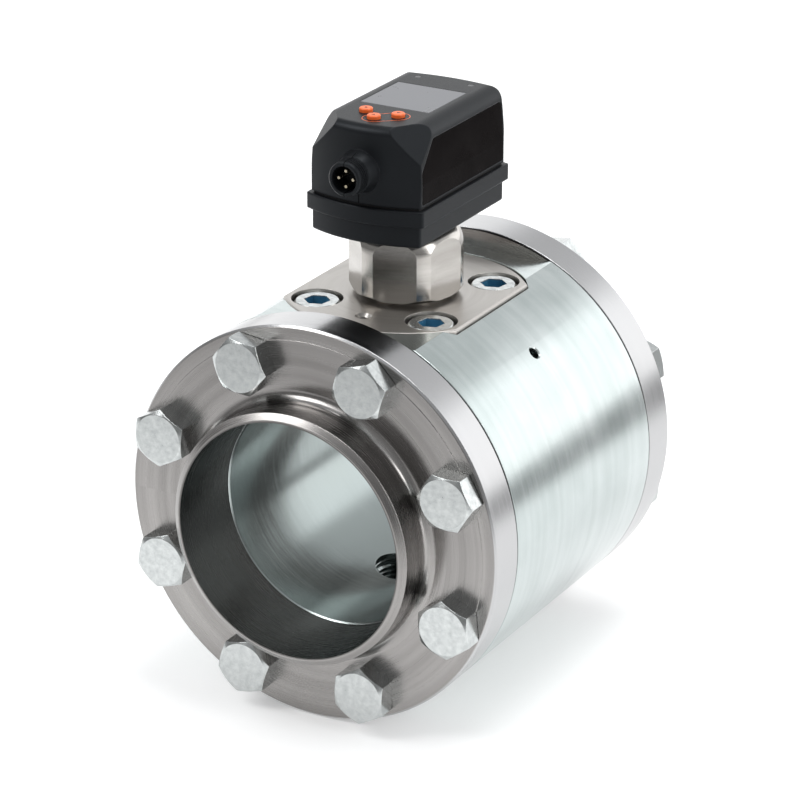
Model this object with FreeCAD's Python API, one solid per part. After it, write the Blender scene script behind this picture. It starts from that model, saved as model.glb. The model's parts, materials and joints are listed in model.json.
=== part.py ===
import FreeCAD, Part
import math
import os
from FreeCAD import Placement, Rotation, Vector

# Compressed air flow meter for a DN 80 pipe, in millimetres.
# The pipe axis is Y, air flows towards +Y, and +Z points up to the sensor head.
# The origin is the centre of the inlet's weld end.

# Pipe and weld-neck flanges
pipe_outside = 88.9
pipe_wall = 2.9
flange_diameter = 140.0
flange_thickness = 15.5
neck_length = 14.7
neck_root_radius = 3.5
bolt_head_gap = 0.4
weld_bevel_angle = 37.5
weld_land = 0.8
rim_chamfer = 0.8
joint_chamfer = 0.5
face_step_width = 5.0
face_step_depth = 0.2

# Flange bolts
bolt_count = 8
bolt_circle_shift = 1.775
bolt_diameter = 12.0
bolt_length = 25.0
bolt_head_flats = 18.0
bolt_head_height = 7.5
bolt_chamfer_angle = 30.0
bolt_face_share = 0.95
bolt_tip_chamfer = 1.0
bolt_hole_clearance = 0.75
thread_gap = 0.03
tap_extra_depth = 0.3
inlet_head_turns = (2.0, 46.0, 8.0, 32.0, 43.0, 47.0, 31.0, 24.0)
outlet_head_turns = (17.0, 51.0, 28.0, 5.0, 39.0, 12.0, 55.0, 33.0)

# Turned meter body between the flanges
body_bore = 82.0
bore_chamfer = 0.5
top_flat_depth = 7.0
seal_land = 4.0
seal_width = 4.0
seal_depth = 2.4
seal_side_gap = 0.2
seal_corner = 0.5

# Earth screw hole in the body's shoulder
earth_hole_diameter = 4.2
earth_hole_depth = 9.0
earth_hole_angle = 45.0
earth_hole_chamfer = 0.4

# Sensor plate, let into a pocket in the body's top flat
plate_diameter = 83.6
plate_width = 66.6
plate_thickness = 12.5
plate_recess = 0.1
plate_chamfer = 0.6
plate_end_margin = 7.45
pocket_gap = 0.4
spigot_diameter = 24.0
spigot_setback = 0.8
fit_gap = 0.05
face_ring_inner = 28.0
face_ring_width = 3.0
face_ring_depth = 2.0
jack_hole_diameter = 3.3
jack_hole_mouth = 5.6
jack_hole_offset = 29.0

# Cap screws of the sensor plate
cap_screw_side_wall = 2.4
cap_screw_rim_wall = 1.79
cap_screw_diameter = 10.0
cap_screw_length = 14.0
cap_head_diameter = 16.0
cap_head_height = 7.0
cap_head_chamfer = 0.8
cap_socket_flats = 8.0
cap_socket_depth = 4.0
cap_socket_turn = 20.0
counterbore_gap = 0.9
cap_head_recess = 0.6

# Threaded nipple, union nut and stem that carry the sensor head
nipple_diameter = 30.0
nipple_height = 13.1
nipple_relief = 0.8
nipple_relief_height = 1.5
stem_ring_width = 2.4
stem_ring_depth = 2.5
collar_thickness = 3.4
nut_diameter = 39.0
nut_flats = 36.0
nut_cap = 9.2
nut_foot_gap = 1.4
nut_foot_chamfer = 1.3
nut_dome_height = 8.0
nut_flat_turn = 17.0
neck_diameter = 20.0
nut_neck_gap = 0.3
nut_head_gap = 0.9
pivot_diameter = 17.9
swivel_gap = 0.1
clip_thickness = 1.2
clip_width = 3.3
clip_groove_depth = 0.95
stop_width = 1.4
stop_reach = 14.0
stop_length = 2.4
swivel_ring_height = 1.3
swivel_ring_depth = 1.2
stem_bore = 10.0
stem_top_land = 1.0

# Probe in the air stream
probe_diameter = 16.0
probe_wall = 1.5
probe_socket_depth = 8.0
probe_insertion = 21.0
probe_tip_length = 6.0
element_diameter = 3.0
element_length = 12.0
element_spacing = 6.0

# Plug and seal in the port opposite the sensor
port_diameter = 20.96
spot_face_diameter = 30.0
spot_face_depth = 6.0
plug_collar_diameter = 26.0
plug_collar_height = 4.0
plug_thread_length = 14.0
plug_socket_flats = 10.0
plug_socket_depth = 7.0
plug_seal_thickness = 1.5
plug_chamfer = 0.8

# Sensor head: plan
head_half_width = 20.9
head_front = 27.4
head_front_bulge = 4.6
head_rear = 30.6
head_rear_bulge = 2.8
head_corner_radius = 1.0
wall = 2.0

# Sensor head: heights of the two housing halves
floor_thickness = 2.5
skirt_height = 7.4
skirt_inset = 0.25
foot_radius = 0.8
lip_height = 5.6
lip_overhang = 1.3
lip_edge_radius = 0.4
gasket_thickness = 0.7
gasket_inset = 0.6
upper_height = 26.5

# Sensor head: curves of the upper half
side_radius = 130.0
side_straight_height = 4.4
side_start_gap = 0.05
top_edge_radius = 5.5
front_edge_radius = 3.0
rear_edge_radius = 2.5
front_lean = 1.0
rear_lean = 0.6
facet_front_x = 9.2
facet_front_drop = 0.9
facet_front_y = 30.75
facet_side_drop = 13.7
facet_side_y = 28.75
facet_top_x = 19.2
facet_top_drop = 3.2
facet_top_y = 18.2

# Glossy side panels: distances from the sensor axis along the pipe, and from the head's top
panel_thickness = 0.9
panel_gap = 0.12
panel_front = 26.4
panel_notch_front = 17.7
panel_rear = 29.4
panel_top_drop = 5.1
panel_notch_drop = 14.5
panel_foot_gap = 1.0
panel_corner_radius = 1.2

# Screws that join the housing halves
housing_screw_x = 15.4
housing_screw_front = 24.0
housing_screw_rear = 26.0
housing_boss_diameter = 8.0
housing_screw_diameter = 3.0
housing_screw_length = 15.0
housing_screw_head_diameter = 5.5
housing_screw_head_height = 2.4
housing_counterbore_depth = 4.0
housing_screw_socket_flats = 2.0
housing_screw_socket_depth = 1.4
housing_head_gap = 0.2
housing_pilot_gap = 0.03
housing_pilot_extra = 0.5
housing_boss_cap = 1.5

# Display
window_width = 26.0
window_length = 25.5
window_offset = 4.6
window_flange = 1.2
window_flange_thickness = 0.8
trim_gap = 0.06
display_thickness = 3.4
board_thickness = 1.6
display_board_width = 30.0
display_board_front = 26.5
display_board_rear = 28.5
display_board_corner = 8.0
board_post_diameter = 3.0
board_post_x = 13.0
board_post_front = 13.0
board_post_rear = 22.5

# Push buttons
button_diameter = 4.6
button_height = 1.3
button_edge_radius = 0.5
button_flange_diameter = 6.2
button_flange_thickness = 0.8
button_foot_diameter = 2.6
button_foot_length = 0.5
button_travel = 0.7
button_gap = 0.1
button_side_x = 6.1
button_side_y = 16.5
button_middle_y = 22.0
switch_size = 5.0
switch_plunger_diameter = 2.4
switch_plunger_height = 0.6

# Status lights
light_diameter = 2.0
light_x = 10.2
light_y = 25.9
light_gap = 0.05

# Round plug connector on the head's front face
connector_drop = 15.7
connector_reach = 41.5
connector_thread_diameter = 12.0
connector_thread_length = 5.5
connector_boss_diameter = 14.8
connector_boss_tip = 12.6
connector_boss_foot = 0.4
connector_bore = 9.2
connector_bore_depth = 8.0
connector_insert_length = 6.3
connector_insert_flange = 13.0
connector_insert_flange_thickness = 1.4
connector_chamfer = 0.5
pin_diameter = 1.0
pin_circle = 5.3
pin_setback = 1.2
pin_tail = 2.5

# Circuit boards in the head's foot
sensor_board_gap = 1.4
sensor_board_front = 18.5
sensor_board_rear = 20.5
sensor_board_lift = 4.3
sensor_post_diameter = 3.2
sensor_post_inset = 3.5
power_board_x = 10.0
power_board_front = 9.0
power_board_rear = 19.0
header_width = 2.5
header_height = 2.5
header_inset = 1.0

# Levels and places worked out from the sizes above
flange_radius = flange_diameter / 2
bore_radius = pipe_outside / 2 - pipe_wall
body_bore_radius = body_bore / 2
bolt_circle_radius = (flange_radius + pipe_outside / 2) / 2 + bolt_circle_shift
body_length = plate_diameter + 2 * plate_end_margin
body_start = neck_length + flange_thickness
body_end = body_start + body_length
total_length = body_end + flange_thickness + neck_length
sensor_y = (body_start + body_end) / 2

flat_z = flange_radius - top_flat_depth
plate_top = flat_z - plate_recess
pocket_floor = plate_top - plate_thickness
nipple_top = plate_top + nipple_height
collar_top = nipple_top + collar_thickness
nut_top = collar_top + nut_cap
pivot_foot = nut_top + nut_head_gap
head_bottom = pivot_foot + swivel_gap
floor_top = head_bottom + floor_thickness
lip_bottom = head_bottom + skirt_height
gasket_bottom = lip_bottom + lip_height
upper_bottom = gasket_bottom + gasket_thickness
head_top = upper_bottom + upper_height

pivot_radius = pivot_diameter / 2
clip_bottom = floor_top + swivel_gap
clip_top = clip_bottom + clip_thickness
clip_inner_radius = pivot_radius - clip_groove_depth
stem_top = clip_top + stem_top_land

window_underside = head_top - wall
display_top = window_underside - window_flange_thickness
display_board_top = display_top - display_thickness
display_board_bottom = display_board_top - board_thickness
sensor_board_half = head_half_width - wall - sensor_board_gap
sensor_board_bottom = floor_top + sensor_board_lift
sensor_board_top = sensor_board_bottom + board_thickness
button_flange_top = window_underside - button_gap
button_foot_bottom = button_flange_top - button_flange_thickness - button_foot_length
plunger_top = button_foot_bottom - button_travel - button_gap
connector_z = head_top - connector_drop

counterbore_radius = cap_head_diameter / 2 + counterbore_gap
cap_screw_x = plate_width / 2 - cap_screw_side_wall - counterbore_radius
cap_screw_reach = plate_diameter / 2 - cap_screw_rim_wall - counterbore_radius
cap_screw_y = math.sqrt(cap_screw_reach ** 2 - cap_screw_x ** 2)
cap_screw_places = [
    (sx * cap_screw_x, sensor_y + sy * cap_screw_y)
    for sx in (-1, 1)
    for sy in (-1, 1)
]
button_places = {
    "enter_button": (-button_side_x, -button_side_y),
    "up_button": (0.0, -button_middle_y),
    "down_button": (button_side_x, -button_side_y),
}
housing_screw_places = [
    (side * housing_screw_x, y)
    for side in (-1, 1)
    for y in (-housing_screw_front, housing_screw_rear)
]

UP = Vector(0, 0, 1)
ALONG = Vector(0, 1, 0)
CENTRE = Vector(0, 0, 0)


def rounded_wire(corners, to_point):
    """Closed wire through (u, v, radius) corners, each turned on its own radius."""
    count = len(corners)
    edges = []
    last = None
    first = None
    for i in range(count):
        here = Vector(corners[i][0], corners[i][1], 0)
        before = Vector(corners[i - 1][0], corners[i - 1][1], 0) - here
        after = Vector(corners[(i + 1) % count][0], corners[(i + 1) % count][1], 0) - here
        radius = corners[i][2] if len(corners[i]) > 2 else 0.0
        if radius > 0:
            before.normalize()
            after.normalize()
            half = before.getAngle(after) / 2
            start = here + before * (radius / math.tan(half))
            end = here + after * (radius / math.tan(half))
            middle = (before + after).normalize()
            crown = here + middle * (radius / math.sin(half) - radius)
            arc = Part.Arc(to_point(start), to_point(crown), to_point(end)).toShape()
        else:
            start = here
            end = here
            arc = None
        if last is not None and last.distanceToPoint(start) > 1e-6:
            edges.append(Part.LineSegment(to_point(last), to_point(start)).toShape())
        if arc is not None:
            edges.append(arc)
        if first is None:
            first = start
        last = end
    if last.distanceToPoint(first) > 1e-6:
        edges.append(Part.LineSegment(to_point(last), to_point(first)).toShape())
    return Part.Wire(edges)


def turned_about_flow(corners):
    """Solid of revolution about the pipe axis, from (radius, y) corners."""
    face = Part.Face(rounded_wire(corners, lambda p: Vector(p.x, p.y, 0)))
    return face.revolve(CENTRE, ALONG, 360)


def turned_upright(corners, x=0.0, y=0.0):
    """Solid of revolution about a vertical axis, from (radius, z) corners."""
    face = Part.Face(rounded_wire(corners, lambda p: Vector(p.x, 0, p.y)))
    solid = face.revolve(CENTRE, UP, 360)
    solid.translate(Vector(x, y, 0))
    return solid


def ring_upright(inner_radius, outer_radius, bottom, top, x=0.0, y=0.0):
    return turned_upright(
        [(inner_radius, bottom), (outer_radius, bottom), (outer_radius, top), (inner_radius, top)], x, y
    )


def pillar(radius, bottom, top, x=0.0, y=0.0):
    return Part.makeCylinder(radius, top - bottom, Vector(x, y, bottom), UP)


def block(x0, x1, y0, y1, z0, z1):
    return Part.makeBox(x1 - x0, y1 - y0, z1 - z0, Vector(x0, y0, z0))


def hex_prism(flats, base, height, turn, axis):
    """Hexagonal prism across the flats given, standing on base along axis, turned by turn degrees."""
    radius = flats / math.sqrt(3)
    corners = [
        (radius * math.cos(math.radians(60 * k)), radius * math.sin(math.radians(60 * k))) for k in range(6)
    ]
    prism = Part.Face(rounded_wire(corners, lambda p: Vector(p.x, p.y, 0))).extrude(Vector(0, 0, height))
    prism.rotate(CENTRE, UP, turn)
    prism.Placement = Placement(base, Rotation(UP, axis)).multiply(prism.Placement)
    return prism


def on_circle(radius, angle, y):
    return Vector(radius * math.cos(math.radians(angle)), y, radius * math.sin(math.radians(angle)))


def bolt_angles():
    step = 360.0 / bolt_count
    return [step / 2 + step * k for k in range(bolt_count)]


def fused(shapes):
    result = shapes[0].multiFuse(shapes[1:]) if len(shapes) > 1 else shapes[0]
    return result.removeSplitter()


def mirrored_along_flow(shape):
    """The same piece on the outlet side."""
    return shape.mirror(Vector(0, total_length / 2, 0), ALONG)


def weld_neck_flange():
    """Inlet flange: weld end at y = 0, plain face against the body."""
    neck_radius = pipe_outside / 2
    bevel_depth = (pipe_wall - weld_land) * math.tan(math.radians(weld_bevel_angle))
    step_radius = flange_radius - face_step_width
    head_room = bolt_circle_radius - bolt_head_flats / math.sqrt(3) - neck_radius - bolt_head_gap
    flange = turned_about_flow([
        (bore_radius, 0),
        (bore_radius + weld_land, 0),
        (neck_radius, bevel_depth),
        (neck_radius, neck_length, min(neck_root_radius, head_room)),
        (step_radius, neck_length),
        (step_radius, neck_length + face_step_depth),
        (flange_radius - rim_chamfer, neck_length + face_step_depth),
        (flange_radius, neck_length + face_step_depth + rim_chamfer),
        (flange_radius, body_start - joint_chamfer),
        (flange_radius - joint_chamfer, body_start),
        (bore_radius, body_start),
    ])
    hole_radius = bolt_diameter / 2 + bolt_hole_clearance
    holes = [
        Part.makeCylinder(
            hole_radius, flange_thickness, on_circle(bolt_circle_radius, angle, neck_length), ALONG
        )
        for angle in bolt_angles()
    ]
    return flange.cut(Part.Compound(holes))


def hexagon_bolt(base, turn):
    """Hexagon head bolt: the head stands out of the flange face at base, the shank runs along +Y."""
    outer = bolt_head_flats / math.sqrt(3)
    rim = bolt_head_flats / 2 * bolt_face_share
    drop = (outer - rim) * math.tan(math.radians(bolt_chamfer_angle))
    shank_radius = bolt_diameter / 2
    blank = turned_about_flow([
        (0, -bolt_head_height),
        (rim, -bolt_head_height),
        (outer, drop - bolt_head_height),
        (outer, 0),
        (0, 0),
    ])
    head = blank.common(hex_prism(bolt_head_flats, Vector(0, 0, 0), bolt_head_height, -turn, -ALONG))
    shank = turned_about_flow([
        (0, 0),
        (shank_radius, 0),
        (shank_radius, bolt_length - bolt_tip_chamfer),
        (shank_radius - bolt_tip_chamfer, bolt_length),
        (0, bolt_length),
    ])
    bolt = fused([head, shank])
    bolt.translate(base)
    return bolt


def flange_bolts(head_turns):
    return [
        hexagon_bolt(on_circle(bolt_circle_radius, angle, neck_length), turn)
        for angle, turn in zip(bolt_angles(), head_turns)
    ]


def squeezed_ring(inner, outer, near, far):
    """Section of a seal pressed into its groove: a rectangle with its corners off."""
    corner = seal_corner
    return [
        (inner + corner, near),
        (outer - corner, near),
        (outer, near + corner),
        (outer, far - corner),
        (outer - corner, far),
        (inner + corner, far),
        (inner, far - corner),
        (inner, near + corner),
    ]


def flange_seal():
    """Ring of rubber that fills the groove in the body's inlet face, between the flanges."""
    inner = body_bore_radius + seal_land + seal_side_gap
    outer = inner + seal_width - 2 * seal_side_gap
    return turned_about_flow(squeezed_ring(inner, outer, body_start, body_start + seal_depth))


def truncated_disc(radius, half_width, bottom, top):
    """Upright disc with two flats, on the sensor axis."""
    disc = pillar(radius, bottom, top, 0, sensor_y)
    trim = block(-half_width, half_width, sensor_y - radius, sensor_y + radius, bottom, top)
    return disc.common(trim)


def meter_body():
    """Turned body with its bore, end grooves, top flat, plate pocket, port and tapped holes."""
    body = turned_about_flow([
        (body_bore_radius + bore_chamfer, body_start),
        (flange_radius - joint_chamfer, body_start),
        (flange_radius, body_start + joint_chamfer),
        (flange_radius, body_end - joint_chamfer),
        (flange_radius - joint_chamfer, body_end),
        (body_bore_radius + bore_chamfer, body_end),
        (body_bore_radius, body_end - bore_chamfer),
        (body_bore_radius, body_start + bore_chamfer),
    ])
    over = flange_radius + 1
    cuts = [block(-over, over, body_start, body_end, flat_z, over)]
    groove_inner = body_bore_radius + seal_land
    groove = turned_about_flow([
        (groove_inner, body_start),
        (groove_inner + seal_width, body_start),
        (groove_inner + seal_width, body_start + seal_depth),
        (groove_inner, body_start + seal_depth),
    ])
    cuts += [groove, mirrored_along_flow(groove)]
    tap_radius = bolt_diameter / 2 + thread_gap
    tap_depth = bolt_length - flange_thickness + tap_extra_depth
    for angle in bolt_angles():
        mouth = on_circle(bolt_circle_radius, angle, body_start)
        tap = Part.makeCylinder(tap_radius, tap_depth, mouth, ALONG)
        cuts += [tap, mirrored_along_flow(tap)]
    pocket_radius = plate_diameter / 2 + pocket_gap
    cuts.append(truncated_disc(pocket_radius, plate_width / 2 + pocket_gap, pocket_floor, over))
    cuts.append(pillar(spigot_diameter / 2 + fit_gap, 0, pocket_floor, 0, sensor_y))
    screw_bottom = cap_screw_seat() - cap_screw_length - tap_extra_depth
    for x, y in cap_screw_places:
        cuts.append(pillar(cap_screw_diameter / 2 + thread_gap, screw_bottom, pocket_floor, x, y))
    cuts.append(pillar(port_diameter / 2 + thread_gap, -over, 0, 0, sensor_y))
    cuts.append(pillar(spot_face_diameter / 2, -over, spot_face_z(), 0, sensor_y))
    cuts.append(earth_hole())
    return body.cut(Part.Compound(cuts))


def spot_face_z():
    return spot_face_depth - flange_radius


def cap_screw_seat():
    """Height of the face under the cap screws' heads."""
    return plate_top - cap_head_recess - cap_head_height


def earth_hole():
    """Tapped hole with a small chamfer, square to the body's round surface."""
    radius = earth_hole_diameter / 2
    surface = flange_radius
    hole = turned_upright([
        (0, surface - earth_hole_depth),
        (radius, surface - earth_hole_depth),
        (radius, surface - earth_hole_chamfer),
        (radius + earth_hole_chamfer, surface),
        (radius + earth_hole_chamfer, surface + 1),
        (0, surface + 1),
    ])
    hole.rotate(CENTRE, ALONG, 90 - earth_hole_angle)
    hole.translate(Vector(0, sensor_y, 0))
    return hole


def sensor_plate():
    """Truncated disc with a threaded nipple above, a spigot below and four counterbores."""
    plate = truncated_disc(plate_diameter / 2, plate_width / 2, pocket_floor, plate_top)
    rim = [e for e in plate.Edges if abs(e.BoundBox.ZMin - plate_top) < 1e-6 and e.BoundBox.ZLength < 1e-6]
    plate = plate.makeChamfer(plate_chamfer, rim)
    nipple_radius = nipple_diameter / 2
    nipple = turned_upright([
        (0, plate_top - 1),
        (nipple_radius - nipple_relief, plate_top - 1),
        (nipple_radius - nipple_relief, plate_top + nipple_relief_height),
        (nipple_radius, plate_top + nipple_relief_height + nipple_relief),
        (nipple_radius, nipple_top - nipple_relief),
        (nipple_radius - nipple_relief, nipple_top),
        (0, nipple_top),
    ], 0, sensor_y)
    spigot_bottom = body_bore_radius + spigot_setback
    spigot = pillar(spigot_diameter / 2, spigot_bottom, pocket_floor + 1, 0, sensor_y)
    solid = fused([plate, nipple, spigot])
    probe_radius = probe_diameter / 2
    cuts = [
        pillar(probe_radius + fit_gap, spigot_bottom, nipple_top, 0, sensor_y),
        pillar(probe_radius + stem_ring_width, nipple_top - stem_ring_depth, nipple_top, 0, sensor_y),
        face_groove(),
        jack_hole(),
    ]
    seat = cap_screw_seat()
    for x, y in cap_screw_places:
        cuts.append(pillar(counterbore_radius, seat, plate_top + 1, x, y))
        cuts.append(pillar(cap_screw_diameter / 2 + fit_gap, pocket_floor, seat, x, y))
    return solid.cut(Part.Compound(cuts))


def plate_ring():
    """Seal in the plate's face groove."""
    inner = face_ring_inner / 2 + seal_side_gap
    outer = face_ring_inner / 2 + face_ring_width - seal_side_gap
    section = squeezed_ring(inner, outer, pocket_floor, pocket_floor + face_ring_depth)
    return turned_upright(section, 0, sensor_y)


def jack_hole():
    """Countersunk hole near the plate's inlet edge, for the screw that lifts the plate out."""
    radius = jack_hole_diameter / 2
    mouth = jack_hole_mouth / 2
    return turned_upright([
        (0, pocket_floor),
        (radius, pocket_floor),
        (radius, plate_top - (mouth - radius)),
        (mouth, plate_top),
        (mouth, plate_top + 1),
        (0, plate_top + 1),
    ], 0, sensor_y - jack_hole_offset)


def face_groove():
    """Groove in the plate's underside, round the spigot."""
    inner = face_ring_inner / 2
    return ring_upright(
        inner, inner + face_ring_width, pocket_floor, pocket_floor + face_ring_depth, 0, sensor_y
    )


def cap_screw(x, y):
    """Low-head cap screw with a hexagon socket."""
    seat = cap_screw_seat()
    head_radius = cap_head_diameter / 2
    shank_radius = cap_screw_diameter / 2
    top = seat + cap_head_height
    blank = turned_upright([
        (0, seat - cap_screw_length),
        (shank_radius, seat - cap_screw_length),
        (shank_radius, seat),
        (head_radius, seat),
        (head_radius, top - cap_head_chamfer),
        (head_radius - cap_head_chamfer, top),
        (0, top),
    ], x, y)
    socket_foot = Vector(x, y, top - cap_socket_depth)
    return blank.cut(hex_prism(cap_socket_flats, socket_foot, cap_socket_depth, cap_socket_turn, UP))


def stem_ring():
    """Seal between the nipple, the probe and the stem's collar."""
    inner = probe_diameter / 2 + fit_gap
    outer = probe_diameter / 2 + stem_ring_width - fit_gap
    return turned_upright(squeezed_ring(inner, outer, nipple_top - stem_ring_depth, nipple_top), 0, sensor_y)


def union_nut():
    """Domed union nut: turned blank with six flats, bored for the nipple and the stem's neck."""
    radius = nut_diameter / 2
    foot = plate_top + nut_foot_gap
    bore = nipple_diameter / 2 + fit_gap
    throat = neck_diameter / 2 + nut_neck_gap
    corners = [
        (bore, foot),
        (radius - nut_foot_chamfer, foot),
        (radius, foot + nut_foot_chamfer),
        (radius, nut_top, nut_dome_height),
        (throat, nut_top),
        (throat, collar_top),
        (bore, collar_top),
    ]
    nut = turned_upright(corners, 0, sensor_y)
    flats = hex_prism(nut_flats, Vector(0, sensor_y, foot), nut_top - foot, nut_flat_turn, UP)
    return nut.common(flats)


def sensor_stem():
    """Stem of the sensor: clamped collar, neck through the nut, and the pivot that carries the head."""
    probe_radius = probe_diameter / 2
    neck_radius = neck_diameter / 2
    collar_radius = nipple_diameter / 2 - nipple_relief
    socket_top = nipple_top + probe_socket_depth
    ring_bottom = head_bottom + (floor_thickness - swivel_ring_height) / 2
    ring_top = ring_bottom + swivel_ring_height
    ring_root = pivot_radius - swivel_ring_depth
    return turned_upright([
        (probe_radius + fit_gap, nipple_top),
        (collar_radius, nipple_top),
        (collar_radius, collar_top),
        (neck_radius, collar_top),
        (neck_radius, pivot_foot),
        (pivot_radius, pivot_foot),
        (pivot_radius, ring_bottom),
        (ring_root, ring_bottom),
        (ring_root, ring_top),
        (pivot_radius, ring_top),
        (pivot_radius, clip_bottom),
        (clip_inner_radius, clip_bottom),
        (clip_inner_radius, clip_top),
        (pivot_radius, clip_top),
        (pivot_radius, stem_top),
        (stem_bore / 2, stem_top),
        (stem_bore / 2, socket_top),
        (probe_radius + fit_gap, socket_top),
    ], 0, sensor_y)


def swivel_ring():
    """Ring in the pivot's groove, which seals against the head's floor."""
    bottom = head_bottom + (floor_thickness - swivel_ring_height) / 2
    return ring_upright(
        pivot_radius - swivel_ring_depth, pivot_radius, bottom, bottom + swivel_ring_height, 0, sensor_y
    )


def stem_clip():
    """Retaining ring on the pivot, with the tab that stops the head after almost a full turn."""
    ring = ring_upright(
        clip_inner_radius, clip_inner_radius + clip_width, clip_bottom, clip_top, 0, sensor_y
    )
    tab = block(
        -stop_width / 2,
        stop_width / 2,
        sensor_y + clip_inner_radius + clip_width / 2,
        sensor_y + stop_reach,
        clip_bottom,
        clip_top,
    )
    return fused([ring, tab])


def probe_tube():
    """Steel tube that reaches down into the bore, closed by the tip."""
    radius = probe_diameter / 2
    bottom = body_bore_radius - probe_insertion
    top = nipple_top + probe_socket_depth
    return ring_upright(radius - probe_wall, radius, bottom, top, 0, sensor_y)


def probe_tip():
    """Insulating tip in the tube's mouth that holds the two sensing elements."""
    bottom = body_bore_radius - probe_insertion
    tip = pillar(probe_diameter / 2 - probe_wall, bottom, bottom + probe_tip_length, 0, sensor_y)
    sockets = [
        pillar(element_diameter / 2, bottom, bottom + probe_tip_length / 2, x, sensor_y)
        for x in element_places()
    ]
    return tip.cut(Part.Compound(sockets))


def element_places():
    return (-element_spacing / 2, element_spacing / 2)


def sensing_elements():
    """Heated and reference elements: round-ended pins that hang in the air stream."""
    radius = element_diameter / 2
    seat = body_bore_radius - probe_insertion
    pins = []
    for x in element_places():
        pins.append(turned_upright([
            (0, seat - element_length),
            (radius, seat - element_length, radius * 0.8),
            (radius, seat + probe_tip_length / 2),
            (0, seat + probe_tip_length / 2),
        ], x, sensor_y))
    return pins


def bottom_plug():
    """Collared plug with a hexagon socket in its outer face."""
    top = spot_face_z() - plug_seal_thickness
    foot = top - plug_collar_height
    collar_radius = plug_collar_diameter / 2
    thread_radius = port_diameter / 2
    plug = turned_upright([
        (0, foot),
        (collar_radius - plug_chamfer, foot),
        (collar_radius, foot + plug_chamfer),
        (collar_radius, top),
        (thread_radius, top),
        (thread_radius, top + plug_thread_length - plug_chamfer),
        (thread_radius - plug_chamfer, top + plug_thread_length),
        (0, top + plug_thread_length),
    ], 0, sensor_y)
    return plug.cut(hex_prism(plug_socket_flats, Vector(0, sensor_y, foot), plug_socket_depth, 0, UP))


def plug_seal():
    top = spot_face_z()
    thread_radius = port_diameter / 2 + thread_gap
    return ring_upright(thread_radius, plug_collar_diameter / 2, top - plug_seal_thickness, top, 0, sensor_y)


def end_arc(side):
    """Centre and radius of the arc in plan at the head's front (side -1) or rear (side 1)."""
    reach, bulge = (head_front, head_front_bulge) if side < 0 else (head_rear, head_rear_bulge)
    radius = (head_half_width ** 2 + bulge ** 2) / (2 * bulge)
    return side * (reach + bulge - radius), radius


def head_prism(grow, bottom, top):
    """Prism on the head's plan, which bulges at the front and rear, grown outwards by grow."""
    half = head_half_width + grow
    edges = []
    corners = {}
    for side in (-1, 1):
        centre, radius = end_arc(side)
        radius += grow
        corner_y = centre + side * math.sqrt(radius ** 2 - half ** 2)
        corners[side] = [Vector(side * half, corner_y, bottom), Vector(-side * half, corner_y, bottom)]
        crown = Vector(0, centre + side * radius, bottom)
        edges.append(Part.Arc(corners[side][0], crown, corners[side][1]).toShape())
    edges.append(Part.LineSegment(corners[-1][1], corners[1][0]).toShape())
    edges.append(Part.LineSegment(corners[1][1], corners[-1][0]).toShape())
    wire = Part.Wire(Part.__sortEdges__(edges))
    prism = Part.Face(wire).extrude(Vector(0, 0, top - bottom))
    uprights = [e for e in prism.Edges if e.BoundBox.ZLength > (top - bottom) * 0.99]
    return prism.makeFillet(head_corner_radius, uprights)


def level_edges(solid):
    return [e for e in solid.Edges if e.BoundBox.ZLength < 1e-6]


def side_profile_prism(grow, bottom):
    """The upper half's cross-section: upright sides that curve in and roll over into the top.

    Its upright part stands just outside the plan's sides, so that the curves cross them cleanly.
    """
    foot_z = upper_bottom + side_straight_height
    crown = head_top - top_edge_radius
    lean = math.asin((crown - foot_z) / (side_radius - top_edge_radius))
    side_centre = head_half_width + side_start_gap - side_radius
    edge_x = side_centre + (side_radius - top_edge_radius) * math.cos(lean)
    big = side_radius + grow
    small = top_edge_radius + grow
    half = head_half_width + side_start_gap + grow

    def side_point(sign, angle):
        return Vector(sign * (side_centre + big * math.cos(angle)), 0, foot_z + big * math.sin(angle))

    def edge_point(sign, angle):
        return Vector(sign * (edge_x + small * math.cos(angle)), 0, crown + small * math.sin(angle))

    quarter = math.pi / 2
    edges = [
        Part.LineSegment(Vector(-half, 0, bottom), Vector(half, 0, bottom)).toShape(),
        Part.LineSegment(Vector(half, 0, bottom), side_point(1, 0)).toShape(),
        Part.Arc(side_point(1, 0), side_point(1, lean / 2), side_point(1, lean)).toShape(),
        Part.Arc(
            edge_point(1, lean), edge_point(1, (lean + quarter) / 2), edge_point(1, quarter)
        ).toShape(),
        Part.LineSegment(edge_point(1, quarter), edge_point(-1, quarter)).toShape(),
        Part.Arc(
            edge_point(-1, quarter), edge_point(-1, (lean + quarter) / 2), edge_point(-1, lean)
        ).toShape(),
        Part.Arc(side_point(-1, lean), side_point(-1, lean / 2), side_point(-1, 0)).toShape(),
        Part.LineSegment(side_point(-1, 0), Vector(-half, 0, bottom)).toShape(),
    ]
    reach = head_front + head_front_bulge + head_rear + head_rear_bulge + 10
    prism = Part.Face(Part.Wire(edges)).extrude(Vector(0, reach, 0))
    prism.translate(Vector(0, -(head_front + head_front_bulge + 5), 0))
    return prism


def facet_tools(grow):
    """Blocks that cut the flat facets off the head's two upper front corners."""
    front = Vector(facet_front_x, -facet_front_y, head_top - facet_front_drop)
    side = Vector(head_half_width, -facet_side_y, head_top - facet_side_drop)
    top = Vector(facet_top_x, -facet_top_y, head_top - facet_top_drop)
    normal = (side - front).cross(top - front).normalize()
    size = 60.0
    tool = Part.makeBox(size, size, size, Vector(-size / 2, -size / 2, 0))
    middle = (front + side + top) * (1.0 / 3)
    tool.Placement = Placement(middle + normal * grow, Rotation(UP, normal))
    return Part.Compound([tool, tool.mirror(CENTRE, Vector(1, 0, 0))])


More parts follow.
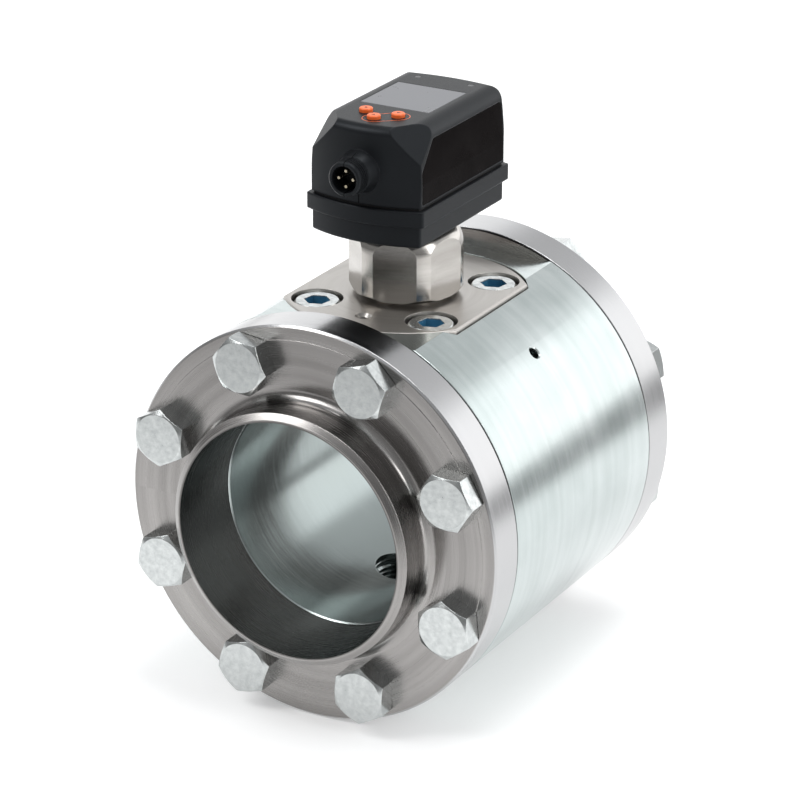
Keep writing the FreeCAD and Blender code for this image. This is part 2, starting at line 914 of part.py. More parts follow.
def end_disc(side, edge_radius, lean, grow, bottom):
    """Upright disc whose rim is one end face, which leans in above its foot.

    The outer face rounds over into the top, and the inner one meets it in a plain corner.
    """
    centre, radius = end_arc(side)
    slope = lean / upper_height
    top = head_top + grow
    edge = edge_radius + grow if grow >= 0 else 0
    return turned_upright([
        (0, bottom),
        (radius + grow + slope * (upper_bottom - bottom), bottom),
        (radius + grow - slope * (top - upper_bottom), top, edge),
        (0, top),
    ], 0, centre)


def upper_form(grow, bottom):
    """Outer form of the upper housing above bottom, grown outwards by grow."""
    form = head_prism(grow, bottom, head_top + 2)
    form = form.common(side_profile_prism(grow, bottom))
    form = form.common(end_disc(-1, front_edge_radius, front_lean, grow, bottom))
    form = form.common(end_disc(1, rear_edge_radius, rear_lean, grow, bottom))
    return form.cut(facet_tools(grow)).removeSplitter()


def panel_outline(grow):
    """Five-sided outline of a side panel in the plane of the pipe axis, grown outwards by grow."""
    top = head_top - panel_top_drop
    notch = head_top - panel_notch_drop
    foot = upper_bottom + panel_foot_gap
    corners = [
        (-panel_front, foot, panel_corner_radius / 2),
        (panel_rear, foot, panel_corner_radius / 2),
        (panel_rear, top, panel_corner_radius),
        (-panel_notch_front, top, panel_corner_radius * 2),
        (-panel_front, notch, panel_corner_radius * 2),
    ]
    face = Part.Face(rounded_wire(corners, lambda p: Vector(0, p.x, p.y)))
    return face.makeOffset2D(grow) if grow else face


def panel_prism(side, grow):
    start = side * head_half_width / 2
    prism = panel_outline(grow).extrude(Vector(side * head_half_width, 0, 0))
    prism.translate(Vector(start, 0, 0))
    return prism


def side_panel(side):
    shell = upper_form(0.0, upper_bottom).cut(upper_form(-panel_thickness, upper_bottom - 1))
    return panel_prism(side, 0.0).common(shell)


def connector_boss():
    """Tapered boss and threaded sleeve of the plug connector, pointing to the inlet side."""
    reach = -connector_reach
    sleeve = connector_thread_diameter / 2
    sleeve_end = reach + connector_thread_length
    boss_end = -(head_front + head_front_bulge) + wall
    corners = [
        (0, reach),
        (sleeve - connector_chamfer, reach),
        (sleeve, reach + connector_chamfer),
        (sleeve, sleeve_end),
        (connector_boss_tip / 2, sleeve_end),
        (connector_boss_diameter / 2, boss_end - wall + connector_boss_foot),
        (connector_boss_diameter / 2, boss_end),
        (0, boss_end),
    ]
    boss = turned_about_flow(corners)
    boss.translate(Vector(0, 0, connector_z))
    return boss


def along_head(radius, start, end, x=0.0, z=0.0):
    """Cylinder along the head, at x and z from the connector's axis."""
    return Part.makeCylinder(radius, end - start, Vector(x, start, connector_z + z), ALONG)


def upper_housing():
    """Moulded upper half of the head, with its boss, openings, panel recesses and posts."""
    outer = upper_form(0.0, upper_bottom)
    inner = upper_form(-wall, upper_bottom - 1)
    shell = fused([outer, connector_boss()]).cut(inner)
    seat_start = -(head_front + head_front_bulge) + wall / 2
    additions = [along_head(connector_boss_diameter / 2, seat_start, connector_seat())]
    pilot_top = head_bottom + housing_counterbore_depth + housing_screw_length + housing_pilot_extra
    for x, y in housing_screw_places:
        boss_top = pilot_top + housing_boss_cap
        additions.append(pillar(housing_boss_diameter / 2, upper_bottom, boss_top, x, y))
    for x in (-board_post_x, board_post_x):
        for y in (-board_post_front, board_post_rear):
            additions.append(pillar(board_post_diameter / 2, display_board_top, head_top - wall / 2, x, y))
    inside = upper_form(-wall / 2, upper_bottom)
    shell = fused([shell] + [a.common(inside) for a in additions])
    cuts = []
    for x, y in housing_screw_places:
        radius = housing_screw_diameter / 2 + housing_pilot_gap
        cuts.append(pillar(radius, upper_bottom - 1, pilot_top, x, y))
    for x, y in button_places.values():
        cuts.append(pillar(button_diameter / 2 + button_gap, display_top, head_top + 1, x, y))
    light_radius = light_diameter / 2 + light_gap
    for side in (-1, 1):
        cuts.append(pillar(light_radius, display_top, head_top + 1, side * light_x, light_y))
        skin = upper_form(1.0, upper_bottom - 1).cut(upper_form(-panel_thickness, upper_bottom - 2))
        cuts.append(panel_prism(side, panel_gap).common(skin))
    half = window_width / 2 + trim_gap
    near = window_offset - window_length / 2 - trim_gap
    far = window_offset + window_length / 2 + trim_gap
    cuts.append(block(-half, half, near, far, display_top, head_top + 1))
    brim = window_flange
    cuts.append(block(-half - brim, half + brim, near - brim, far + brim, display_top - 1, window_underside))
    cuts.append(along_head(connector_bore / 2, -connector_reach, -head_front))
    return shell.cut(Part.Compound(cuts))


def lower_housing():
    """Moulded lower half of the head: floor on the pivot, skirt, lip, screw bosses and board posts."""
    outer = head_prism(-skirt_inset, head_bottom, gasket_bottom)
    foot_edges = [e for e in level_edges(outer) if abs(e.BoundBox.ZMin - head_bottom) < 1e-6]
    outer = outer.makeFillet(foot_radius, foot_edges)
    lip = head_prism(lip_overhang, lip_bottom, gasket_bottom)
    lip = lip.makeFillet(lip_edge_radius, level_edges(lip))
    shell = fused([outer, lip]).cut(head_prism(-wall, floor_top, gasket_bottom + 1))
    additions = []
    for x, y in housing_screw_places:
        additions.append(pillar(housing_boss_diameter / 2, head_bottom, gasket_bottom, x, y))
    inset = sensor_post_inset
    for x in (inset - sensor_board_half, sensor_board_half - inset):
        for y in (inset - sensor_board_front, sensor_board_rear - inset):
            additions.append(pillar(sensor_post_diameter / 2, floor_top - 1, sensor_board_bottom, x, y))
    additions.append(
        block(
            -stop_width / 2, stop_width / 2, -stop_reach, stop_length - stop_reach, floor_top - 1, clip_top
        )
    )
    inside = head_prism(-skirt_inset - wall / 2, head_bottom, gasket_bottom)
    shell = fused([shell] + [a.common(inside) for a in additions])
    cuts = [pillar(pivot_radius + fit_gap, head_bottom - 1, floor_top + 1)]
    seat = head_bottom + housing_counterbore_depth
    head_hole = housing_screw_head_diameter / 2 + housing_head_gap
    for x, y in housing_screw_places:
        cuts.append(pillar(head_hole, head_bottom - 1, seat, x, y))
        cuts.append(pillar(housing_screw_diameter / 2 + fit_gap, seat, gasket_bottom, x, y))
    return shell.cut(Part.Compound(cuts))


def housing_gasket():
    outer = head_prism(-gasket_inset, gasket_bottom, upper_bottom)
    ring = outer.cut(head_prism(-wall, gasket_bottom - 1, upper_bottom + 1))
    corners = [
        pillar(housing_boss_diameter / 2, gasket_bottom, upper_bottom, x, y)
        for x, y in housing_screw_places
    ]
    inside = head_prism(-wall / 2, gasket_bottom, upper_bottom)
    ring = fused([ring] + [c.common(inside) for c in corners])
    radius = housing_screw_diameter / 2 + fit_gap
    holes = [pillar(radius, gasket_bottom - 1, upper_bottom + 1, x, y) for x, y in housing_screw_places]
    return ring.cut(Part.Compound(holes))


def housing_screw(x, y):
    seat = head_bottom + housing_counterbore_depth
    foot = seat - housing_screw_head_height
    head = pillar(housing_screw_head_diameter / 2, foot, seat, x, y)
    recess = hex_prism(housing_screw_socket_flats, Vector(x, y, foot), housing_screw_socket_depth, 0, UP)
    shank = pillar(housing_screw_diameter / 2, seat, seat + housing_screw_length, x, y)
    return fused([head, shank]).cut(recess)


def display_window():
    """Clear cover: flush in the top, with a hidden flange behind the wall."""
    half = window_width / 2
    near = window_offset - window_length / 2
    far = window_offset + window_length / 2
    pane = block(-half, half, near, far, display_top, head_top)
    brim = block(
        -half - window_flange,
        half + window_flange,
        near - window_flange,
        far + window_flange,
        display_top,
        window_underside,
    )
    return fused([pane, brim])


def display_module():
    half = window_width / 2 + window_flange / 2
    reach = window_length / 2 + window_flange / 2
    return block(-half, half, window_offset - reach, window_offset + reach, display_board_top, display_top)


def display_board():
    """Board under the display, with its front corners cut off to clear the head's facets."""
    half = display_board_width / 2
    cut = display_board_corner
    corners = [
        (-half + cut, -display_board_front),
        (half - cut, -display_board_front),
        (half, cut - display_board_front),
        (half, display_board_rear),
        (-half, display_board_rear),
        (-half, cut - display_board_front),
    ]
    face = Part.Face(rounded_wire(corners, lambda p: Vector(p.x, p.y, display_board_bottom)))
    return face.extrude(Vector(0, 0, board_thickness))


def push_button(x, y):
    """Button with a crowned cap, a flange behind the wall and a foot above its switch."""
    radius = button_diameter / 2
    flange = button_flange_diameter / 2
    flange_bottom = button_flange_top - button_flange_thickness
    foot = button_foot_diameter / 2
    top = head_top + button_height
    return turned_upright([
        (0, button_foot_bottom),
        (foot, button_foot_bottom),
        (foot, flange_bottom),
        (flange, flange_bottom),
        (flange, button_flange_top),
        (radius, button_flange_top),
        (radius, top, button_edge_radius),
        (0, top),
    ], x, y)


def key_switch(x, y):
    """Small switch on the display board, with its plunger just under the button."""
    half = switch_size / 2
    body_top = plunger_top - switch_plunger_height
    body = block(x - half, x + half, y - half, y + half, display_board_top, body_top)
    return fused([body, pillar(switch_plunger_diameter / 2, display_board_top, plunger_top, x, y)])


def status_light(side):
    return pillar(light_diameter / 2, display_board_top, head_top, side * light_x, light_y)


def connector_seat():
    """Place along the head where the insert's flange meets the boss inside the front wall."""
    back = connector_bore_depth - connector_reach + connector_insert_length
    return back - connector_insert_flange_thickness


def connector_insert():
    """Insulating insert of the connector, pushed in from inside the head."""
    front = connector_bore_depth - connector_reach
    back = front + connector_insert_length
    body = along_head(connector_bore / 2 - fit_gap, front, back)
    flange = along_head(connector_insert_flange / 2, connector_seat(), back)
    holes = [along_head(pin_diameter / 2, front, back, x, z) for x, z in pin_places()]
    return fused([body, flange]).cut(Part.Compound(holes))


def pin_places():
    radius = pin_circle / 2
    return ((radius, 0.0), (0.0, radius), (-radius, 0.0), (0.0, -radius))


def connector_pin(x, z):
    tip = pin_setback - connector_reach
    tail = connector_bore_depth - connector_reach + connector_insert_length + pin_tail
    return along_head(pin_diameter / 2, tip, tail, x, z)


def sensor_board():
    half = sensor_board_half
    return block(-half, half, -sensor_board_front, sensor_board_rear, sensor_board_bottom, sensor_board_top)


def power_board():
    return block(
        power_board_x,
        power_board_x + board_thickness,
        -power_board_front,
        power_board_rear,
        sensor_board_top,
        display_board_bottom,
    )


def board_headers():
    """Pin headers that join the upright board to the boards above and below it."""
    near = header_inset - power_board_front
    far = power_board_rear - header_inset
    left = power_board_x - header_width
    lower = block(left, power_board_x, near, far, sensor_board_top, sensor_board_top + header_height)
    upper = block(
        left, power_board_x, near, far, display_board_bottom - header_height, display_board_bottom
    )
    return [lower, upper]


def export(name, shapes):
    solids = [solid for shape in shapes for solid in shape.Solids]
    whole = solids[0] if len(solids) == 1 else Part.Compound(solids)
    whole.exportStep("parts/" + name + ".step")


def in_head(shapes):
    """The head's pieces are drawn about its own axis, and stand on the sensor axis."""
    for shape in shapes:
        shape.translate(Vector(0, sensor_y, 0))
    return shapes


def main():
    os.makedirs("parts", exist_ok=True)
    inlet_bolts = flange_bolts(inlet_head_turns)
    outlet_bolts = [mirrored_along_flow(bolt) for bolt in flange_bolts(outlet_head_turns)]
    inlet_flange = weld_neck_flange()
    seal = flange_seal()
    fixed = {
        "meter_body": [meter_body()],
        "inlet_flange": [inlet_flange],
        "outlet_flange": [mirrored_along_flow(inlet_flange)],
        "inlet_bolts": inlet_bolts,
        "outlet_bolts": outlet_bolts,
        "inlet_seal": [seal],
        "outlet_seal": [mirrored_along_flow(seal)],
        "sensor_plate": [sensor_plate()],
        "plate_screws": [cap_screw(x, y) for x, y in cap_screw_places],
        "plate_o_ring": [plate_ring()],
        "union_nut": [union_nut()],
        "sensor_stem": [sensor_stem()],
        "stem_o_ring": [stem_ring()],
        "stem_clip": [stem_clip()],
        "swivel_o_ring": [swivel_ring()],
        "probe_tube": [probe_tube()],
        "probe_tip": [probe_tip()],
        "sensing_elements": sensing_elements(),
        "bottom_plug": [bottom_plug()],
        "plug_seal": [plug_seal()],
    }
    head = {
        "upper_housing": [upper_housing()],
        "lower_housing": [lower_housing()],
        "housing_gasket": [housing_gasket()],
        "housing_screws": [housing_screw(x, y) for x, y in housing_screw_places],
        "side_panel_left": [side_panel(-1)],
        "side_panel_right": [side_panel(1)],
        "display_window": [display_window()],
        "display_module": [display_module()],
        "display_board": [display_board()],
        "key_switches": [key_switch(x, y) for x, y in button_places.values()],
        "status_lights": [status_light(-1), status_light(1)],
        "connector_insert": [connector_insert()],
        "connector_pins": [connector_pin(x, z) for x, z in pin_places()],
        "sensor_board": [sensor_board()],
        "power_board": [power_board()],
        "board_headers": board_headers(),
    }
    for name, (x, y) in button_places.items():
        head[name] = [push_button(x, y)]
    for name, shapes in fixed.items():
        export(name, shapes)
    for name, shapes in head.items():
        export(name, in_head(shapes))


main()
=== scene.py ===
"""Looks of a compressed air flow meter: finishes, fine marks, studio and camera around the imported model."""
import json
import math

import bpy
from mathutils import Matrix, Vector


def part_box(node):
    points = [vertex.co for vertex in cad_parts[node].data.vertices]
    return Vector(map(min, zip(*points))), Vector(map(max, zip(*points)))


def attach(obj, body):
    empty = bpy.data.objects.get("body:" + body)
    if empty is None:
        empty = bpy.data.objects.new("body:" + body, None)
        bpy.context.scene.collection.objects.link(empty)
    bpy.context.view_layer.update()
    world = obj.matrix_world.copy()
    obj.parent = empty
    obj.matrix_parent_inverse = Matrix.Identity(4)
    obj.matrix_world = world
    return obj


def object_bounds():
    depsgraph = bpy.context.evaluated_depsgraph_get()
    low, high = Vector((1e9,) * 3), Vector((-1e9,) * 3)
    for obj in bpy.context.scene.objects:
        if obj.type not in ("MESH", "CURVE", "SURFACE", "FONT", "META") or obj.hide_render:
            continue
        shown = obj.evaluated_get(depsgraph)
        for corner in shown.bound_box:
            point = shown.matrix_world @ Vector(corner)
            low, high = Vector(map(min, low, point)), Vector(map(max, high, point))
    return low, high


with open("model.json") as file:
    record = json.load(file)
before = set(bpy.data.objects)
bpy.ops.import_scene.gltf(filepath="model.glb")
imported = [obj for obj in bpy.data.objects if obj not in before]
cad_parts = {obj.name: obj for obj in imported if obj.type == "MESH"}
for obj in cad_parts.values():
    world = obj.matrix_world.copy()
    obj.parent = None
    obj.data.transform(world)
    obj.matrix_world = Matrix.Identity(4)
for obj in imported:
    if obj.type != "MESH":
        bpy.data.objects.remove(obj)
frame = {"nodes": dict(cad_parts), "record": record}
cad_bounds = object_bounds()

MM = 0.001

# Level direction, from the part, of the floor that its right side mirrors to the camera
MIRRORED_EAST = 0.582
MIRRORED_NORTH = 0.813

# Sizes on the part, in metres
BORE_RADIUS = 41.0 * MM
FLANGE_BORE_EDGE = 41.8 * MM
BODY_BORE_EDGE = 41.2 * MM
PORT_RADIUS = 10.51 * MM
PORT_PITCH = 1.814 * MM
SLEEVE_RADIUS = 6.0 * MM
SLEEVE_PITCH = 1.0 * MM
CAP_HEAD_RADIUS = 8.0 * MM
SOCKET_REACH = 4.62 * MM

# Marks on the buttons' crowns, in millimetres
MARK_SIZE = 0.75
DOT_RADIUS = 0.55

# Camera of the photograph, solved from the flange circles
CAMERA_AZIMUTH = 29.4304
CAMERA_ELEVATION = 22.1266
CAMERA_ROLL = 0.1812
CAMERA_POSITION = (0.5468, -0.8937, 0.4762)
CAMERA_LENS = 157.54

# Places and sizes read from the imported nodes
body_low, body_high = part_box("meter_body")
whole_low, whole_high = cad_bounds
upper_low, upper_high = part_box("upper_housing")
pin_low, pin_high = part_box("connector_pins")
plug_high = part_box("bottom_plug")[1]
SENSOR_Y = (body_low[1] + body_high[1]) / 2
HEAD_TOP = upper_high[2]
CONNECTOR_Z = (pin_low[2] + pin_high[2]) / 2
FLANGE_RADIUS = (whole_high[0] - whole_low[0]) / 2
RIM_FROM = FLANGE_RADIUS - 0.6 * MM
BODY_ENDS = (body_low[1], body_high[1])


class Nodes:
    """A node tree with short ways to add and join its nodes."""

    def __init__(self, tree):
        self.tree = tree

    def add(self, kind, **settings):
        node = self.tree.nodes.new("ShaderNode" + kind)
        for key, value in settings.items():
            setattr(node, key, value)
        return node

    def put(self, value, socket):
        """Sets a socket to a number, a tuple or another node's output."""
        if isinstance(value, bpy.types.NodeSocket):
            self.tree.links.new(value, socket)
        else:
            socket.default_value = value

    def maths(self, operation, a, b=0.0, c=0.0):
        node = self.add("Math", operation=operation)
        for value, socket in zip((a, b, c), node.inputs):
            self.put(value, socket)
        return node.outputs[0]

    def times(self, a, b):
        return self.maths("MULTIPLY", a, b)

    def reach(self, a, b):
        """Length of the level vector with the parts a and b."""
        return self.maths("SQRT", self.maths("ADD", self.times(a, a), self.times(b, b)))

    def apart(self, value, other):
        return self.maths("ABSOLUTE", self.maths("SUBTRACT", value, other))

    def vector(self, x, y, z):
        node = self.add("CombineXYZ")
        for value, socket in zip((x, y, z), node.inputs):
            self.put(value, socket)
        return node.outputs[0]

    def place(self):
        """The point on the object, as separate x, y and z in metres."""
        split = self.add("SeparateXYZ")
        self.put(self.add("TexCoord").outputs["Object"], split.inputs[0])
        return split.outputs[0], split.outputs[1], split.outputs[2]

    def noise(self, where, scale, detail=3.0, roughness=0.55):
        node = self.add("TexNoise")
        self.put(where, node.inputs["Vector"])
        self.put(scale, node.inputs["Scale"])
        self.put(detail, node.inputs["Detail"])
        self.put(roughness, node.inputs["Roughness"])
        return node.outputs["Fac"]

    def span(self, value, low, high, to_low, to_high):
        """Value from low to high becomes to_low to to_high, and stays within them."""
        node = self.add("MapRange")
        for number, socket in zip((value, low, high, to_low, to_high), node.inputs):
            self.put(number, socket)
        return node.outputs[0]

    def blend(self, share, first, second):
        node = self.add("Mix", data_type="RGBA")
        self.put(share, node.inputs[0])
        self.put(first, node.inputs[6])
        self.put(second, node.inputs[7])
        return node.outputs[2]

    def bump(self, height, distance, strength=1.0, normal=None):
        node = self.add("Bump")
        self.put(height, node.inputs["Height"])
        node.inputs["Distance"].default_value = distance
        node.inputs["Strength"].default_value = strength
        if normal is not None:
            self.put(normal, node.inputs["Normal"])
        return node.outputs["Normal"]

    def soft_edge(self, radius):
        """Normal that rounds off sharp edges by radius."""
        node = self.add("Bevel", samples=4)
        node.inputs["Radius"].default_value = radius
        return node.outputs["Normal"]

    def edge_mask(self, soft_normal, reach=0.12):
        """1 on sharp edges, 0 on flat or round stretches."""
        geometry = self.add("NewGeometry")
        dot = self.add("VectorMath", operation="DOT_PRODUCT")
        self.put(soft_normal, dot.inputs[0])
        self.put(geometry.outputs["Normal"], dot.inputs[1])
        return self.span(dot.outputs["Value"], 1.0 - reach, 0.999, 1.0, 0.0)


class Finish(Nodes):
    """One material and its node tree."""

    def __init__(self, name, **settings):
        self.material = bpy.data.materials.new(name)
        self.material.use_nodes = True
        super().__init__(self.material.node_tree)
        self.shader = self.tree.nodes["Principled BSDF"]
        for socket, value in settings.items():
            self.shader.inputs[socket.replace("_", " ")].default_value = value


def grey(level):
    return (level, level, level, 1.0)


def scaled(colour, factor, lift=0.0):
    """The colour made lighter or darker."""
    return tuple(min(1.0, c * factor + lift) for c in colour[:3]) + (1.0,)


def turned_metal(name, colour, dark_colour, roughness, axis="Y", centre_y=0.0, anisotropy=0.6,
                 line_depth=0.003, edge=0.25, blotch=0.25, bore=None, bore_shade=0.0,
                 rim=None, joints=()):
    """Metal with fine lathe lines round an axis, patchy tone and bright edges. Within the radius bore it is
    darker by bore_shade, painted shade inside the bore; beyond the radius rim it is bright and smooth, and it
    has a thin dark line at each joint, a place along the pipe."""
    line_scale = 2600.0
    band_scale = 240.0
    patch_scale = 38.0
    line_drift = 0.0004
    rim_colour = (0.47, 0.47, 0.475, 1.0)
    f = Finish(name, Metallic=1.0, Anisotropic=anisotropy)
    x, y, z = f.place()
    if axis == "Y":
        across, along = z, y
    else:
        across, along = f.maths("SUBTRACT", y, centre_y), z
    radius = f.reach(x, across)
    turn = f.maths("ARCTAN2", across, x)
    lines_at = f.vector(radius, along, f.times(turn, line_drift))
    lines = f.noise(lines_at, line_scale, 4.0, 0.7)
    bands = f.noise(lines_at, band_scale, 2.0, 0.5)
    patches = f.noise(f.vector(x, y, z), patch_scale, 3.0, 0.55)
    mixed = f.maths("ADD", f.times(bands, 1.0 - blotch), f.times(patches, blotch))
    tone = f.span(mixed, 0.3, 0.7, 0.0, 1.0)
    soft = f.soft_edge(edge * MM)
    worn = f.edge_mask(soft)
    base = f.blend(tone, dark_colour, colour)
    base = f.blend(f.times(worn, 0.7), base, scaled(colour, 1.18))
    # Painted shade: inside the bore the colour is darkened, standing in for the shade within the pipe.
    if bore is not None:
        in_bore_shade = f.span(radius, bore, bore + 0.3 * MM, 1.0, 0.0)
        base = f.blend(in_bore_shade, base, scaled(dark_colour, 1.0 - bore_shade))
    if rim is not None:
        at_rim = f.span(radius, rim - 0.1 * MM, rim, 0.0, 1.0)
        base = f.blend(at_rim, base, rim_colour)
    for joint in joints:
        near_joint = f.span(f.apart(y, joint), 0.2 * MM, 0.4 * MM, 1.0, 0.0)
        outside = f.span(radius, FLANGE_RADIUS - 0.9 * MM, FLANGE_RADIUS - 0.7 * MM, 0.0, 1.0)
        base = f.blend(f.times(near_joint, outside), base, grey(0.03))
    f.put(base, f.shader.inputs["Base Color"])
    rough = f.span(lines, 0.3, 0.7, roughness - 0.05, roughness + 0.06)
    rough = f.maths("ADD", rough, f.span(patches, 0.35, 0.65, -0.02, 0.03))
    if rim is not None:
        rough = f.maths("SUBTRACT", rough, f.times(at_rim, 0.06))
    f.put(rough, f.shader.inputs["Roughness"])
    f.put(f.bump(lines, line_depth * MM, 1.0, soft), f.shader.inputs["Normal"])
    tangent = f.add("Tangent", direction_type="RADIAL", axis=axis)
    f.put(tangent.outputs[0], f.shader.inputs["Tangent"])
    return f


def forged_zinc(name, colour, dark_colour, roughness):
    """Zinc plate on a forged bolt: uneven skin, small dents and bright edges."""
    f = Finish(name, Metallic=1.0)
    x, y, z = f.place()
    at = f.vector(x, y, z)
    skin = f.noise(at, 420.0, 5.0, 0.62)
    dents = f.noise(at, 1400.0, 2.0, 0.5)
    soft = f.soft_edge(0.3 * MM)
    worn = f.edge_mask(soft)
    base = f.blend(f.span(skin, 0.35, 0.65, 0.0, 1.0), dark_colour, colour)
    f.put(f.blend(f.times(worn, 0.8), base, scaled(colour, 1.2)), f.shader.inputs["Base Color"])
    f.put(f.span(skin, 0.3, 0.7, roughness + 0.08, roughness - 0.05), f.shader.inputs["Roughness"])
    height = f.maths("ADD", skin, f.times(dents, 0.25))
    f.put(f.bump(height, 0.022 * MM, 0.8, soft), f.shader.inputs["Normal"])
    return f


def moulded_plastic(name, colour, roughness, grain=0.010, edge=0.3, seam=False, sheen=0.5):
    """Moulded plastic with a fine spark-eroded grain, and a parting line at the front if asked."""
    f = Finish(name, IOR=1.5, Specular_IOR_Level=sheen, Specular_Tint=(0.86, 0.93, 1.0, 1.0))
    x, y, z = f.place()
    at = f.vector(x, y, z)
    fine = f.noise(at, 3200.0, 2.0, 0.6)
    cloud = f.noise(at, 60.0, 3.0, 0.5)
    base = f.blend(f.span(cloud, 0.3, 0.7, 0.0, 0.6), colour, scaled(colour, 1.35, 0.001))
    height = fine
    if seam:
        near_middle = f.span(f.maths("ABSOLUTE", x), 0.10 * MM, 0.20 * MM, 1.0, 0.0)
        at_front = f.span(y, body_low[1] + 22 * MM, body_low[1] + 23 * MM, 1.0, 0.0)
        below_top = f.span(z, HEAD_TOP - 9 * MM, HEAD_TOP - 8.5 * MM, 1.0, 0.0)
        above_lip = f.span(z, upper_low[2], upper_low[2] + 0.1 * MM, 0.0, 1.0)
        line = f.times(f.times(near_middle, at_front), f.times(below_top, above_lip))
        base = f.blend(line, base, grey(0.001))
        height = f.maths("SUBTRACT", fine, f.times(line, 6.0))
        f.put(f.span(line, 0.0, 1.0, sheen, 0.0), f.shader.inputs["Specular IOR Level"])
    f.put(base, f.shader.inputs["Base Color"])
    f.put(f.span(fine, 0.3, 0.7, roughness - 0.04, roughness + 0.05), f.shader.inputs["Roughness"])
    f.put(f.bump(height, grain * MM, 1.0, f.soft_edge(edge * MM)), f.shader.inputs["Normal"])
    return f


def gloss_panel(name, colour, roughness, sheen):
    """Glossy cover with faint smears and hairline scratches."""
    f = Finish(name, IOR=1.5, Specular_IOR_Level=sheen)
    x, y, z = f.place()
    smear = f.noise(f.vector(x, y, z), 90.0, 4.0, 0.6)
    hair = f.noise(f.vector(f.times(x, 4.0), y, f.times(z, 9.0)), 700.0, 2.0, 0.5)
    lighter = scaled(colour, 1.25, 0.002)
    f.put(f.blend(f.span(smear, 0.3, 0.7, 0.0, 1.0), colour, lighter), f.shader.inputs["Base Color"])
    f.put(f.span(smear, 0.3, 0.7, roughness, roughness + 0.08), f.shader.inputs["Roughness"])
    f.put(f.bump(hair, 0.0008 * MM, 0.5, f.soft_edge(0.2 * MM)), f.shader.inputs["Normal"])
    return f


def soft_rubber(name):
    f = Finish(name, IOR=1.45)
    x, y, z = f.place()
    dust = f.noise(f.vector(x, y, z), 400.0, 4.0, 0.6)
    f.put(f.blend(f.span(dust, 0.3, 0.7, 0.0, 1.0), grey(0.010), grey(0.022)), f.shader.inputs["Base Color"])
    f.put(f.span(dust, 0.3, 0.7, 0.5, 0.7), f.shader.inputs["Roughness"])
    f.put(f.bump(dust, 0.02 * MM), f.shader.inputs["Normal"])
    return f


def circuit_board(name):
    """Green solder resist with fine copper tracks under it."""
    f = Finish(name, IOR=1.5, Coat_Weight=0.3)
    x, y, z = f.place()
    tracks = f.add("TexBrick")
    tracks.inputs["Scale"].default_value = 260.0
    tracks.inputs["Mortar Size"].default_value = 0.06
    f.put(f.vector(x, y, z), tracks.inputs["Vector"])
    green = (0.012, 0.10, 0.045, 1.0)
    f.put(f.blend(tracks.outputs["Fac"], green, (0.03, 0.20, 0.09, 1.0)), f.shader.inputs["Base Color"])
    f.put(f.span(tracks.outputs["Fac"], 0.0, 1.0, 0.35, 0.28), f.shader.inputs["Roughness"])
    f.put(f.bump(tracks.outputs["Fac"], 0.02 * MM), f.shader.inputs["Normal"])
    return f


def tinted_sockets(f):
    """Blue tint in the hexagon sockets of the four cap screws, which lie evenly about the sensor axis."""
    screws_low, screws_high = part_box("plate_screws")
    offset_x = (screws_high[0] - screws_low[0]) / 2 - CAP_HEAD_RADIUS
    offset_y = (screws_high[1] - screws_low[1]) / 2 - CAP_HEAD_RADIUS
    x, y, z = f.place()
    dx = f.maths("SUBTRACT", f.maths("ABSOLUTE", x), offset_x)
    dy = f.maths("SUBTRACT", f.apart(y, SENSOR_Y), offset_y)
    inside = f.span(f.reach(dx, dy), SOCKET_REACH, SOCKET_REACH + 0.06 * MM, 1.0, 0.0)
    below = f.span(z, screws_high[2] - 0.5 * MM, screws_high[2] - 0.2 * MM, 1.0, 0.0)
    share = f.times(inside, below)
    before = f.shader.inputs["Base Color"].links[0].from_socket
    f.put(f.blend(share, before, (0.06, 0.21, 0.34, 1.0)), f.shader.inputs["Base Color"])
    f.put(f.maths("SUBTRACT", 1.0, f.times(share, 0.75)), f.shader.inputs["Metallic"])
    return f


